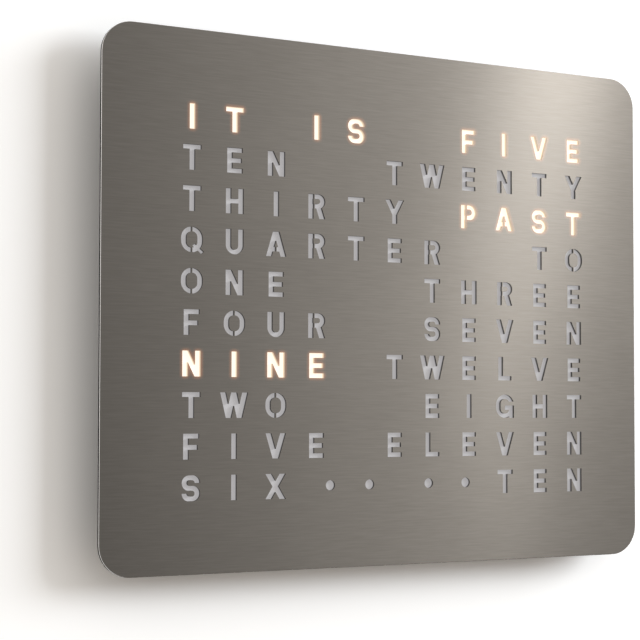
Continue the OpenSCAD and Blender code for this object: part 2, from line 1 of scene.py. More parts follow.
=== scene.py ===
import math
import bpy
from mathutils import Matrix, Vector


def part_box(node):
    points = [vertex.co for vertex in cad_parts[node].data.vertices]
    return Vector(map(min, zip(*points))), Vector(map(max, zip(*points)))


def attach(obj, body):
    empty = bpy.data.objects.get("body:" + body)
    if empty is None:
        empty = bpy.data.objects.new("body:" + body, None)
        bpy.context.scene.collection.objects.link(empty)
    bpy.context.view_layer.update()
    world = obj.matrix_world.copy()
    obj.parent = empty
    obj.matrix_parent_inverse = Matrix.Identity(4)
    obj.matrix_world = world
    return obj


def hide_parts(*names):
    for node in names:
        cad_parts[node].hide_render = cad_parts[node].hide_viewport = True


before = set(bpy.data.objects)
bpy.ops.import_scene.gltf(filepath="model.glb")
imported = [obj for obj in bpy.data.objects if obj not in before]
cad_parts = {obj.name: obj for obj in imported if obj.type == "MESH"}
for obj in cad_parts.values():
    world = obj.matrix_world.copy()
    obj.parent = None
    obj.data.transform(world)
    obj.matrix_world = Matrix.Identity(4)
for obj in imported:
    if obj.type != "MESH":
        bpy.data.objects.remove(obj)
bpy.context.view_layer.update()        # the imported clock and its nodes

# ---- The view --------------------------------------------------------------------------
# The camera stands to the left of the clock, level with its lower half, and looks up a
# little. Its long lens is shifted, so that the whole plate is in the picture.
bpy.ops.object.select_all(action="DESELECT")
bpy.ops.object.camera_add(
    location=(-0.6073, -1.132, -0.087),
    rotation=[math.radians(angle) for angle in (91.97, -0.088, -26.206)],
)
camera = bpy.context.object
camera.data.sensor_width = 36
camera.data.lens = 85.6
camera.data.shift_y = 0.0625
bpy.context.scene.camera = camera
bpy.context.scene.view_settings.view_transform = "Standard"


# ---- The wall and the floor ------------------------------------------------------------
# The wall is bright white paint and takes the clock's soft shadow. The floor is pale and
# far below. Both are clear from behind, so that the clock's back and underside show.
def tree_of(owner):
    """The emptied node tree of a material or a world, and its output node."""
    owner.use_nodes = True
    tree = owner.node_tree
    tree.nodes.clear()
    kind = "World" if isinstance(owner, bpy.types.World) else "Material"
    return tree, tree.nodes.new("ShaderNodeOutput" + kind)


def backdrop_paint(name, colour, lift):
    """Matt paint with a faint light of its own, clear when it is seen from behind."""
    material = bpy.data.materials.new(name)
    tree, output = tree_of(material)
    paint = tree.nodes.new("ShaderNodeBsdfDiffuse")
    paint.inputs["Color"].default_value = (*colour, 1)
    glow = tree.nodes.new("ShaderNodeEmission")
    glow.inputs["Strength"].default_value = lift
    both = tree.nodes.new("ShaderNodeAddShader")
    clear = tree.nodes.new("ShaderNodeBsdfTransparent")
    side = tree.nodes.new("ShaderNodeNewGeometry")
    front_or_back = tree.nodes.new("ShaderNodeMixShader")
    tree.links.new(paint.outputs[0], both.inputs[0])
    tree.links.new(glow.outputs[0], both.inputs[1])
    tree.links.new(side.outputs["Backfacing"], front_or_back.inputs[0])
    tree.links.new(both.outputs[0], front_or_back.inputs[1])
    tree.links.new(clear.outputs[0], front_or_back.inputs[2])
    tree.links.new(front_or_back.outputs[0], output.inputs["Surface"])
    return material


bpy.ops.mesh.primitive_plane_add(size=6, location=(0, 0, 1.7), rotation=(math.pi / 2, 0, 0))
wall = bpy.context.object
wall.name = "wall"
wall.data.materials.append(backdrop_paint("wall_paint", (1.15, 1.15, 1.145), lift=0.01))
wall.visible_diffuse = False
wall.visible_glossy = False
wall.visible_transmission = False
wall.visible_shadow = False

bpy.ops.mesh.primitive_plane_add(size=14, location=(0, 0, -1.3))
floor = bpy.context.object
floor.name = "floor"
floor.data.materials.append(backdrop_paint("floor_paint", (0.83, 0.86, 0.9), lift=0))
floor.visible_diffuse = False
floor.visible_glossy = False

# ---- The light -------------------------------------------------------------------------
# Soft light from all round, weaker from the left, and one large lamp far to the right
# that throws the shadow on the wall. Two narrow lamps only show as a gleam on the steel.
def worked_out(tree, operation, *values):
    """The result of a Math node, from numbers or from what other nodes put out."""
    node = tree.nodes.new("ShaderNodeMath")
    node.operation = operation
    for socket, value in zip(node.inputs, values):
        if isinstance(value, (int, float)):
            socket.default_value = value
        else:
            tree.links.new(value, socket)
    return node.outputs[0]


def spread_over(tree, value, low, high, at_low, at_high, smooth=False):
    """A value's span from low to high as numbers from at_low to at_high."""
    node = tree.nodes.new("ShaderNodeMapRange")
    node.interpolation_type = "SMOOTHSTEP" if smooth else "LINEAR"
    tree.links.new(value, node.inputs["Value"])
    for name, number in zip(("From Min", "From Max", "To Min", "To Max"),
                            (low, high, at_low, at_high)):
        node.inputs[name].default_value = number
    return node.outputs["Result"]


def mixed_colour(tree, share, at_none, at_full):
    """A colour between two others, as a share goes from 0 to 1."""
    mix = tree.nodes.new("ShaderNodeMix")
    mix.data_type = "RGBA"
    share_input, colour_a, colour_b = mix.inputs[0], mix.inputs[6], mix.inputs[7]
    colour_a.default_value = (*at_none, 1)
    colour_b.default_value = (*at_full, 1)
    tree.links.new(share, share_input)
    return mix.outputs[2]


# The room shows itself in three ways: as light on matt surfaces, as the plain white that
# the camera sees past the wall, and as what shiny surfaces mirror
studio = bpy.data.worlds.new("studio")
bpy.context.scene.world = studio
tree, output = tree_of(studio)
room = tree.nodes.new("ShaderNodeBackground")
seen = tree.nodes.new("ShaderNodeBackground")
mirrored = tree.nodes.new("ShaderNodeBackground")
seen.inputs["Color"].default_value = (1, 1, 1, 1)
mirrored.inputs["Color"].default_value = (1, 1, 1, 1)
path = tree.nodes.new("ShaderNodeLightPath")
not_mirrored = tree.nodes.new("ShaderNodeMixShader")
not_diffuse = tree.nodes.new("ShaderNodeMixShader")
direct = worked_out(
    tree, "MAXIMUM", path.outputs["Is Camera Ray"], path.outputs["Is Transmission Ray"]
)
tree.links.new(direct, not_diffuse.inputs[0])
tree.links.new(room.outputs[0], not_diffuse.inputs[1])
tree.links.new(seen.outputs[0], not_diffuse.inputs[2])
tree.links.new(path.outputs["Is Glossy Ray"], not_mirrored.inputs[0])
tree.links.new(not_diffuse.outputs[0], not_mirrored.inputs[1])
tree.links.new(mirrored.outputs[0], not_mirrored.inputs[2])
tree.links.new(not_mirrored.outputs[0], output.inputs["Surface"])

# The room's light on matt surfaces: stronger from the right than from the left, stronger
# from above than from below, and warmer from below
heading = tree.nodes.new("ShaderNodeTexCoord")
parts = tree.nodes.new("ShaderNodeSeparateXYZ")
tree.links.new(heading.outputs["Generated"], parts.inputs[0])
from_side = spread_over(tree, parts.outputs["X"], 0, 1, 0.2, 1)
from_above = spread_over(tree, parts.outputs["Z"], 0, 1, 0, 1.1)
tree.links.new(worked_out(tree, "ADD", from_side, from_above), room.inputs["Strength"])
PALE_LIGHT = (1.03, 1, 0.96)
WARM_LIGHT = (1.15, 1, 0.86)
from_below = spread_over(tree, parts.outputs["Z"], 0, -0.5, 0, 1)
room_colour = mixed_colour(tree, from_below, PALE_LIGHT, WARM_LIGHT)
tree.links.new(room_colour, room.inputs["Color"])

# What the steel mirrors: a white room, dimmer straight in front, towards the ceiling and
# towards the floor, dark at the lower right, and bright on the left for the rim alone
DIM_TO_THE_RIGHT = math.radians(6)
DIM_REACH = math.radians(27)
DIM_STRENGTH = 0.3
FLOOR_SHADE = 0.06
CEILING_SHADE = 0.25
SHADES_BETWEEN = ((0.18, 0.06), (0.3, 0.3), (0.5, 0.67), (0.68, 1), (0.8, 0.8), (0.92, 0.3))
MIRRORED_STRENGTH = 1.43
LEFT_STRENGTH = 0.85
flat_heading = tree.nodes.new("ShaderNodeVectorMath")
flat_heading.operation = "MULTIPLY"
flat_heading.inputs[1].default_value = (1, 1, 0)
level_heading = tree.nodes.new("ShaderNodeVectorMath")
level_heading.operation = "NORMALIZE"
towards = tree.nodes.new("ShaderNodeVectorMath")
towards.operation = "DOT_PRODUCT"
towards.inputs[1].default_value = (math.sin(DIM_TO_THE_RIGHT), -math.cos(DIM_TO_THE_RIGHT), 0)
tree.links.new(heading.outputs["Generated"], flat_heading.inputs[0])
tree.links.new(flat_heading.outputs[0], level_heading.inputs[0])
tree.links.new(level_heading.outputs[0], towards.inputs[0])
sideways = spread_over(
    tree, towards.outputs["Value"], math.cos(DIM_REACH), 1, 1, DIM_STRENGTH, smooth=True
)
upwards = tree.nodes.new("ShaderNodeValToRGB")
tree.links.new(spread_over(tree, parts.outputs["Z"], -1, 1, 0, 1), upwards.inputs[0])
stops = upwards.color_ramp.elements
stops[0].position = 0
stops[0].color = (FLOOR_SHADE, FLOOR_SHADE, FLOOR_SHADE, 1)
stops[1].position = 1
stops[1].color = (CEILING_SHADE, CEILING_SHADE, CEILING_SHADE, 1)
for position, shade in SHADES_BETWEEN:
    stop = stops.new(position)
    stop.color = (shade, shade, shade, 1)
by_height = worked_out(tree, "MULTIPLY", upwards.outputs["Color"], MIRRORED_STRENGTH)
level_parts = tree.nodes.new("ShaderNodeSeparateXYZ")
tree.links.new(level_heading.outputs[0], level_parts.inputs[0])
far_right = spread_over(tree, level_parts.outputs["X"], 0.53, 0.62, 0, 1, smooth=True)
low_down = spread_over(tree, parts.outputs["Z"], -0.25, 0.1, 1, 0, smooth=True)
corner_shade = worked_out(tree, "MULTIPLY", far_right, low_down)
out_of_corner = worked_out(tree, "SUBTRACT", 1, corner_shade)
by_height = worked_out(tree, "MULTIPLY", by_height, out_of_corner)
room_light = worked_out(tree, "MULTIPLY", sideways, by_height)
left_side = spread_over(tree, parts.outputs["X"], 0.12, -0.12, 0, LEFT_STRENGTH)
room_light = worked_out(tree, "MAXIMUM", room_light, left_side)
tree.links.new(room_light, mirrored.inputs["Strength"])


def area_lamp(name, place, target, width, height, power):
    """A soft lamp that faces a point."""
    bpy.ops.object.light_add(type="AREA", location=place)
    lamp = bpy.context.object
    lamp.name = name
    lamp.data.shape = "RECTANGLE"
    lamp.data.size = width
    lamp.data.size_y = height
    lamp.data.energy = power
    away = [a - b for a, b in zip(place, target)]
    lamp.rotation_euler = (
        math.atan2(math.hypot(away[0], away[1]), away[2]),
        0,
        math.atan2(away[0], -away[1]),
    )
    return lamp


key_lamp = area_lamp("key_lamp", (3.25, -1.88, 1.08), (-0.28, 0, 0), 2.05, 1.6, 140)
key_lamp.data.color = (0.9, 0.945, 1)
key_lamp.visible_glossy = False
tall_gleam = area_lamp("tall_gleam", (0.97, -1.35, 0.2), (0.13, -0.03, 0), 0.12, 0.9, 0.36)
high_gleam = area_lamp("high_gleam", (1.085, -1.3, 0.62), (0.17, -0.03, 0.19), 0.14, 0.4, 1.15)
for lamp in (tall_gleam, high_gleam):
    lamp.visible_diffuse = False


# ---- Wall bracket ----------------------------------------------------------------------
# A bent strip of zinc-plated steel that two pairs of screws fix to the wall. Its upper
# edge is folded forwards and up into the lip that carries the clock.
MM = 0.001


def only(piece):
    """Makes a piece the one that is selected and worked on."""
    bpy.ops.object.select_all(action="DESELECT")
    piece.select_set(True)
    bpy.context.view_layer.objects.active = piece


def merged_copy(node, name):
    """A copy of a CAD piece with its loose triangles merged into whole faces."""
    piece = bpy.data.objects.new(name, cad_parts[node].data.copy())
    bpy.context.scene.collection.objects.link(piece)
    piece.data.name = name
    piece.data.materials.clear()
    only(piece)
    bpy.ops.object.mode_set(mode="EDIT")
    bpy.ops.mesh.select_all(action="SELECT")
    bpy.ops.mesh.remove_doubles(threshold=0.002 * MM)
    bpy.ops.mesh.dissolve_limited(angle_limit=math.radians(0.6))
    bpy.ops.object.mode_set(mode="OBJECT")
    return piece


def pick_edges(piece, wanted):
    """Goes into edit mode with the edges selected whose two ends pass the test."""
    only(piece)
    bpy.ops.object.mode_set(mode="EDIT")
    bpy.ops.mesh.select_mode(type="EDGE")
    bpy.ops.mesh.select_all(action="DESELECT")
    bpy.ops.object.mode_set(mode="OBJECT")
    points = piece.data.vertices
    for edge in piece.data.edges:
        edge.select = wanted(points[edge.vertices[0]].co, points[edge.vertices[1]].co)
    bpy.ops.object.mode_set(mode="EDIT")


def ease_edges(piece, width, segments=2, angle=35):
    """Rounds a piece's sharp edges by a width in mm and smooths what is round."""
    only(piece)
    rounding = piece.modifiers.new("rounding", "BEVEL")
    rounding.width = width * MM
    rounding.segments = segments
    rounding.limit_method = "ANGLE"
    rounding.angle_limit = math.radians(angle)
    bpy.ops.object.modifier_apply(modifier="rounding")
    bpy.ops.object.shade_smooth_by_angle(angle=math.radians(angle))
    flat_faces = piece.modifiers.new("flat_faces", "WEIGHTED_NORMAL")
    flat_faces.keep_sharp = True
    bpy.ops.object.modifier_apply(modifier="flat_faces")


def finish(name, colour, roughness, metallic=0.0, specular=0.5):
    """A plain finish, which uneven() then gives its marks."""
    material = bpy.data.materials.new(name)
    material.use_nodes = True
    surface = material.node_tree.nodes["Principled BSDF"]
    surface.inputs["Base Color"].default_value = (*colour, 1)
    surface.inputs["Roughness"].default_value = roughness
    surface.inputs["Metallic"].default_value = metallic
    surface.inputs["Specular IOR Level"].default_value = specular
    return material


def take_over(tree, old_input, new_input):
    """Gives what feeds one socket, or its own value, to another."""
    if old_input.is_linked:
        tree.links.new(old_input.links[0].from_socket, new_input)
    else:
        value = old_input.default_value
        new_input.default_value = value[:3] if hasattr(value, "__len__") else value


def uneven(material, size, shade=0.0, gloss=0.0, depth=0.0, stretch=(1, 1, 1), detail=3.0):
    """Gives a finish marks of a size in mm that shift its shade, its gloss and its height."""
    tree = material.node_tree
    surface = tree.nodes["Principled BSDF"]
    place = tree.nodes.new("ShaderNodeTexCoord")
    scale = tree.nodes.new("ShaderNodeMapping")
    scale.inputs["Scale"].default_value = [1 / (size * MM * s) for s in stretch]
    marks = tree.nodes.new("ShaderNodeTexNoise")
    marks.inputs["Scale"].default_value = 1
    marks.inputs["Detail"].default_value = detail
    tree.links.new(place.outputs["Object"], scale.inputs["Vector"])
    tree.links.new(scale.outputs["Vector"], marks.inputs["Vector"])

    if shade:
        tone = tree.nodes.new("ShaderNodeVectorMath")
        tone.operation = "SCALE"
        take_over(tree, surface.inputs["Base Color"], tone.inputs[0])
        shades = spread_over(tree, marks.outputs["Fac"], 0.3, 0.7, 1 - shade, 1 + shade)
        tree.links.new(shades, tone.inputs["Scale"])
        tree.links.new(tone.outputs["Vector"], surface.inputs["Base Color"])
    if gloss:
        rub = tree.nodes.new("ShaderNodeMath")
        rub.operation = "ADD"
        take_over(tree, surface.inputs["Roughness"], rub.inputs[0])
        rubs = spread_over(tree, marks.outputs["Fac"], 0.3, 0.7, -gloss, gloss)
        tree.links.new(rubs, rub.inputs[1])
        tree.links.new(rub.outputs[0], surface.inputs["Roughness"])
    if depth:
        bumps = tree.nodes.new("ShaderNodeBump")
        bumps.inputs["Distance"].default_value = depth * MM
        if surface.inputs["Normal"].is_linked:
            earlier_bumps = surface.inputs["Normal"].links[0].from_socket
            tree.links.new(earlier_bumps, bumps.inputs["Normal"])
        tree.links.new(marks.outputs["Fac"], bumps.inputs["Height"])
        tree.links.new(bumps.outputs["Normal"], surface.inputs["Normal"])


def fit(piece, body, node, slot, *materials):
    """Hands a new piece over: its finish, the body that it rides on and what it stands for."""
    piece.data.materials.clear()
    for material in materials:
        piece.data.materials.append(material)
    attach(piece, body)
    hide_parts(node)


def repaint(node, material):
    """Gives a CAD piece its finish."""
    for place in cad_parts[node].material_slots:
        place.material = material


zinc = finish("zinc_plating", (0.56, 0.57, 0.585), 0.36, 1.0)
uneven(zinc, 9, shade=0.07, gloss=0.05, detail=4)
uneven(zinc, 1.1, shade=0.04, gloss=0.06, depth=0.012)
uneven(zinc, 0.5, gloss=0.05, depth=0.004, stretch=(30, 1, 1))

HOOK_FOLD = 75
LIP_BACK = 2.4
STRIP_T = 2
BEND_RADIUS = 0.9

bracket = merged_copy("wall_bracket", "bent_wall_bracket")


def on_line(point, depth, level):
    """Whether a point lies at a depth off the wall and a level, both in mm."""
    return abs(-point.y / MM - depth) < 0.01 and abs(point.z / MM - level) < 0.01


def along_fold(a, b, folds):
    """Whether an edge runs along one of the folds."""
    return any(on_line(a, *fold) and on_line(b, *fold) for fold in folds)


def bend(strip, folds):
    """Rounds the folds of a bent strip and eases its cut edges."""
    pick_edges(strip, lambda a, b: along_fold(a, b, folds))
    bpy.ops.mesh.bevel(offset=BEND_RADIUS * MM, segments=4)
    bpy.ops.object.mode_set(mode="OBJECT")
    ease_edges(strip, 0.2, segments=1, angle=50)


bend(bracket, [
    (0, HOOK_FOLD),
    (LIP_BACK, HOOK_FOLD),
    (STRIP_T, HOOK_FOLD - STRIP_T),
    (LIP_BACK + STRIP_T, HOOK_FOLD - STRIP_T),
])
fit(bracket, "wall_mount", "wall_bracket", "zinc_steel", zinc)

# ---- Hanging rail ----------------------------------------------------------------------
# The same zinc-plated strip, folded the other way round and riveted to the rear cover.
# Its lower edge hooks behind the lip of the wall bracket.
RAIL_WEB = 90
RAIL_BACK = 0.2
COVER_BACK = 6.6

rail = merged_copy("hanging_rail", "bent_hanging_rail")
bend(rail, [
    (RAIL_BACK, RAIL_WEB + STRIP_T),
    (RAIL_BACK + STRIP_T, RAIL_WEB),
    (COVER_BACK - STRIP_T, RAIL_WEB + STRIP_T),
    (COVER_BACK, RAIL_WEB),
])
fit(rail, "housing", "hanging_rail", "zinc_steel", zinc)

# ---- Rivets ----------------------------------------------------------------------------
# Four aluminium rivets with domed heads join the rail and the rear cover. The drawn pin
# leaves a small hollow in the middle of the head that faces the wall.
OFF_WALL = ((0, -1, 0), (math.pi / 2, 0, 0))
UP = ((0, 0, 1), (0, 0, 0))
TO_THE_RIGHT = ((1, 0, 0), (0, math.pi / 2, 0))


def turned(name, centre, rings, axis=OFF_WALL, sides=32):
    """A round piece, drawn ring by ring: each ring is its radius and its place in mm."""
    way, turn = axis
    spots = [
        [(c + w * place) * MM for c, w in zip(centre, way)]
        for _, place in rings
    ]
    bpy.ops.object.select_all(action="DESELECT")
    bpy.ops.mesh.primitive_circle_add(
        vertices=sides, radius=rings[0][0] * MM, fill_type="NGON",
        location=spots[0], rotation=turn,
    )
    piece = bpy.context.object
    piece.name = name
    piece.data.name = name
    bpy.ops.object.transform_apply(location=True, rotation=True, scale=True)
    bpy.ops.object.mode_set(mode="EDIT")
    bpy.ops.mesh.select_mode(type="FACE")
    bpy.ops.mesh.select_all(action="SELECT")
    for i in range(1, len(rings)):
        step = [b - a for a, b in zip(spots[i - 1], spots[i])]
        growth = rings[i][0] / rings[i - 1][0]
        bpy.ops.mesh.extrude_region_move(TRANSFORM_OT_translate={"value": step})
        bpy.ops.transform.resize(value=(growth, growth, growth), center_override=spots[i])
    bpy.ops.mesh.select_all(action="SELECT")
    bpy.ops.mesh.normals_make_consistent(inside=False)
    bpy.ops.object.mode_set(mode="OBJECT")
    bpy.ops.object.shade_smooth_by_angle(angle=math.radians(40))
    return piece


def moved_copy(piece, name, shift):
    """A copy with its own mesh, moved by a distance in mm."""
    only(piece)
    bpy.ops.object.duplicate(linked=False)
    twin = bpy.context.object
    twin.name = name
    twin.data.name = name
    twin.location = [s * MM for s in shift]
    bpy.ops.object.transform_apply(location=True, rotation=False, scale=False)
    return twin


def with_copies(first, shifts):
    """A piece with the number 0 and its numbered copies, each moved by a distance in mm."""
    stem = first.name.removesuffix("_0")
    return [first] + [
        moved_copy(first, f"{stem}_{i}", shift) for i, shift in enumerate(shifts, 1)
    ]


aluminium = finish("bare_aluminium", (0.76, 0.77, 0.79), 0.3, 1.0)
uneven(aluminium, 1.5, shade=0.04, gloss=0.08, depth=0.006)
RIVET_ROW = [-100, -36, 36, 100]
RIVET_LEVEL = 105
RIVET_RINGS = [
    (0.7, 3.9), (0.9, 3.15), (1.5, 3.1), (2.6, 3.3), (3.5, 3.8), (4, 4.6), (2, 4.6),
    (2, 8.1), (4, 8.1), (3.5, 9), (2.5, 9.45), (1, 9.6),
]
first_rivet = turned("rivet_0", (RIVET_ROW[0], 0, RIVET_LEVEL), RIVET_RINGS)
for rivet in with_copies(first_rivet, [(x - RIVET_ROW[0], 0, 0) for x in RIVET_ROW[1:]]):
    fit(rivet, "housing", "rail_rivets", "rivet_metal", aluminium)

# ---- Rear cover ------------------------------------------------------------------------
# A flat sheet of steel with a fine black powder coat, held at its corners by four
# screws. The coat rounds the cut edges a little.
powder_coat = finish("black_powder_coat", (0.021, 0.021, 0.022), 0.5, specular=0.45)
uneven(powder_coat, 40, shade=0.12, gloss=0.03)
uneven(powder_coat, 0.9, shade=0.1, gloss=0.06, depth=0.05, detail=2)

cover = merged_copy("rear_cover", "coated_rear_cover")
ease_edges(cover, 0.35)
fit(cover, "housing", "rear_cover", "black_sheet", powder_coat)

# ---- Housing frame ---------------------------------------------------------------------
# The bent and welded sheet ring round the electronics, in the same black powder coat.
# Its front flange carries the seal and magnets, its corner blocks take the cover screws.
ring = merged_copy("housing_frame", "welded_housing_ring")
ease_edges(ring, 0.45)
fit(ring, "housing", "housing_frame", "black_sheet", powder_coat)

# ---- Port panel ------------------------------------------------------------------------
# A moulded black nylon insert in the bottom wall, with the holes for the three buttons
# and for the plug. Its two lips lie on the inside of the sheet metal.
grained_nylon = finish("grained_black_nylon", (0.026, 0.026, 0.028), 0.46)
uneven(grained_nylon, 0.45, shade=0.12, gloss=0.06, depth=0.03, detail=2)
uneven(grained_nylon, 20, shade=0.06)
port_panel = merged_copy("port_panel", "moulded_port_panel")
ease_edges(port_panel, 0.25)
fit(port_panel, "housing", "port_panel", "port_plastic", grained_nylon)

# ---- Cover screws ----------------------------------------------------------------------
# Four zinc-plated M3 screws with low round heads and a six-sided socket. They go through
# the rear cover into the corner blocks.
CORNER_X = 212.75
CORNER_Z = 174.25
FIRST_CORNER = (-CORNER_X, 0, -CORNER_Z)
OTHER_CORNERS = ((2 * CORNER_X, 0, 0), (0, 0, 2 * CORNER_Z), (2 * CORNER_X, 0, 2 * CORNER_Z))


def with_socket(screw, centre, near, far, across):
    """Cuts a six-sided socket into the head of a screw."""
    bpy.ops.object.select_all(action="DESELECT")
    bpy.ops.mesh.primitive_cylinder_add(
        vertices=6, radius=across / math.sqrt(3) * MM, depth=(far - near) * MM,
        location=(centre[0] * MM, -(near + far) / 2 * MM, centre[2] * MM),
        rotation=(math.pi / 2, 0, 0),
    )
    cutter = bpy.context.object
    only(screw)
    socket = screw.modifiers.new("socket", "BOOLEAN")
    socket.operation = "DIFFERENCE"
    socket.object = cutter
    bpy.ops.object.modifier_apply(modifier="socket")
    bpy.data.objects.remove(cutter)


screw_steel = finish("screw_steel", (0.5, 0.505, 0.52), 0.3, 1.0)
uneven(screw_steel, 0.8, shade=0.06, gloss=0.08, depth=0.004)
first_screw = turned("cover_screw_0", FIRST_CORNER, [
    (1.9, 4.8), (2.5, 5), (2.75, 5.4), (2.8, 5.9), (2.8, 6.6), (1.5, 6.6), (1.5, 12.8),
    (1.1, 13.3),
])
with_socket(first_screw, FIRST_CORNER, near=4.6, far=5.9, across=2)
for screw in with_copies(first_screw, OTHER_CORNERS):
    fit(screw, "housing", "cover_screws", "screw_steel", screw_steel)

# ---- Wall bumpers ----------------------------------------------------------------------
# Two soft rubber feet on the rear cover keep the lower half of the clock off the wall.
# They taper towards the wall and are hollow in the middle, as moulded feet are.
rubber = finish("black_rubber", (0.022, 0.022, 0.023), 0.72)
uneven(rubber, 2.5, shade=0.15, gloss=0.06)
uneven(rubber, 0.25, depth=0.012)
BUMPER_X = 150
first_bumper = turned("wall_bumper_0", (-BUMPER_X, 0, -140), [
    (6, 6.6), (6, 5.9), (5.85, 5.6), (5.45, 1.1), (5.1, 0.35), (4.5, 0), (2.4, 0), (2, 0.2),
    (1.6, 1.4), (0.8, 1.6),
])
for bumper in with_copies(first_bumper, [(2 * BUMPER_X, 0, 0)]):
    fit(bumper, "housing", "wall_bumpers", "bumper_rubber", rubber)

# ---- Foam seal -------------------------------------------------------------------------
# A strip of black closed-cell foam round the window of the housing. The plate presses on
# it, so that no light leaks out behind the clock.
foam = finish("black_foam", (0.036, 0.036, 0.038), 0.92)
uneven(foam, 0.7, shade=0.35, depth=0.25, detail=2)
seal = merged_copy("foam_seal", "foam_strip")
ease_edges(seal, 0.35, segments=3)
fit(seal, "housing", "foam_seal", "seal_foam", foam)

# ---- Magnets ---------------------------------------------------------------------------
# Eight nickel-plated disc magnets are glued to the front flange of the housing. They
# hold the plate, which still comes off with a firm pull.
nickel = finish("bright_nickel", (0.68, 0.68, 0.69), 0.14, 1.0)
uneven(nickel, 2, shade=0.03, gloss=0.05, depth=0.003)
magnet_spots = [
    (x * s, z * t)
    for x, z in ((215.5, 90), (120, 177))
    for s in (-1, 1)
    for t in (-1, 1)
]
first_x, first_z = magnet_spots[0]
first_magnet = turned("magnet_0", (first_x, 0, first_z), [
    (4.7, 25), (5, 25.25), (5, 26.65), (4.7, 26.9),
], sides=40)
magnet_shifts = [(x - first_x, 0, z - first_z) for x, z in magnet_spots[1:]]
for magnet in with_copies(first_magnet, magnet_shifts):
    fit(magnet, "housing", "magnets", "magnet_nickel", nickel)

# ---- LED panel -------------------------------------------------------------------------
# A white circuit board with one LED behind each letter. It stands on six turned
# standoffs behind the window, and a small screw holds it on each.
white_board = finish("white_solder_mask", (0.8, 0.8, 0.785), 0.3)
uneven(white_board, 14, shade=0.025, gloss=0.04)
uneven(white_board, 0.6, gloss=0.05, depth=0.006)
repaint("led_panel", white_board)

turned_metal = finish("turned_aluminium", (0.7, 0.705, 0.72), 0.26, 1.0)
uneven(turned_metal, 0.35, shade=0.05, gloss=0.07, depth=0.004, stretch=(12, 1, 12))


def stand_off(board, spots, post_rings, screw_rings, socket_near, socket_far):
    """Stands a circuit board on turned posts and puts a small screw into each."""
    post = turned(f"{board}_standoff_0", spots[0], post_rings, sides=24)
    screw = turned(f"{board}_screw_0", spots[0], screw_rings, sides=24)
    with_socket(screw, spots[0], socket_near, socket_far, across=1.5)
    pairs = [(post, screw)]
    for i, spot in enumerate(spots[1:], 1):
        shift = [b - a for a, b in zip(spots[0], spot)]
        next_post = moved_copy(post, f"{board}_standoff_{i}", shift)
        pairs.append((next_post, moved_copy(screw, f"{board}_screw_{i}", shift)))
    for post, screw in pairs:
        fit(post, "housing", f"{board}_standoffs", "standoff_metal", turned_metal)
        fit(screw, "housing", f"{board}_screws", "screw_steel", screw_steel)


stand_off(
    "panel",
    [(s * CORNER_X, 0, z) for s in (-1, 1) for z in (-140, 0, 140)],
    [(2.7, 8.1), (3, 8.4), (3, 14.8), (2.7, 15.1), (1.3, 15.1), (1.27, 11.1)],
    [
        (1.5, 18.3), (2, 18.1), (2.25, 17.7), (2.25, 16.7), (1.25, 16.7), (1.25, 11.7),
        (0.95, 11.4),
    ],
    socket_near=17.4,
    socket_far=18.5,
)

# ---- LEDs ------------------------------------------------------------------------------
# One white LED package of 5 mm in the middle of each letter cell, with a round lens of
# yellow phosphor. Those behind the lit words glow.
COLUMNS = 11
ROWS = 10
COLUMN_PITCH = 36
ROW_PITCH = 32.2
TEXT_RIGHT = 4
TEXT_DOWN = 1


def column_x(column):
    """The middle of a column of letters, in mm."""
    return TEXT_RIGHT + (column - (COLUMNS - 1) / 2) * COLUMN_PITCH


def row_z(row):
    """The middle of a row of letters, in mm."""
    return -TEXT_DOWN + ((ROWS - 1) / 2 - row) * ROW_PITCH


def block(name, low, high, rounding=0.0, segments=1):
    """A block between two corners in mm, with its edges rounded."""
    bpy.ops.object.select_all(action="DESELECT")
    bpy.ops.mesh.primitive_cube_add(
        size=1,
        location=[(a + b) / 2 * MM for a, b in zip(low, high)],
        scale=[(b - a) * MM for a, b in zip(low, high)],
    )
    piece = bpy.context.object
    piece.name = name
    piece.data.name = name
    bpy.ops.object.transform_apply(location=True, rotation=True, scale=True)
    if rounding:
        ease_edges(piece, rounding, segments)
    return piece


def joined(pieces, name):
    """Joins pieces into one."""
    bpy.ops.object.select_all(action="DESELECT")
    for piece in pieces:
        piece.select_set(True)
    bpy.context.view_layer.objects.active = pieces[0]
    bpy.ops.object.join()
    pieces[0].name = name
    pieces[0].data.name = name
    return pieces[0]


def repeated(piece, count, shift):
    """Repeats a piece in a row, each copy shifted by a distance in mm."""
    only(piece)
    row = piece.modifiers.new("row", "ARRAY")
    row.count = count
    row.use_relative_offset = False
    row.use_constant_offset = True
    row.constant_offset_displace = [s * MM for s in shift]
    bpy.ops.object.modifier_apply(modifier="row")


# The lit words: first and last column, and the row
LIT_WORDS = [(0, 1, 0), (3, 4, 0), (7, 10, 0), (7, 10, 2), (0, 3, 6)]


def lit_part(tree):
    """A number that is 1 in the cells behind the lit words and 0 elsewhere."""
    place = tree.nodes.new("ShaderNodeTexCoord")
    parts = tree.nodes.new("ShaderNodeSeparateXYZ")
    tree.links.new(place.outputs["Object"], parts.inputs[0])
    total = 0
    for first, last, row in LIT_WORDS:
        middle = (column_x(first) + column_x(last)) / 2 * MM
        half = (last - first + 1) / 2 * COLUMN_PITCH * MM
        across = worked_out(tree, "COMPARE", parts.outputs["X"], middle, half)
        height = worked_out(
            tree, "COMPARE", parts.outputs["Z"], row_z(row) * MM, ROW_PITCH / 2 * MM
        )
        word = worked_out(tree, "MULTIPLY", across, height)
        total = worked_out(tree, "ADD", total, word)
    return total


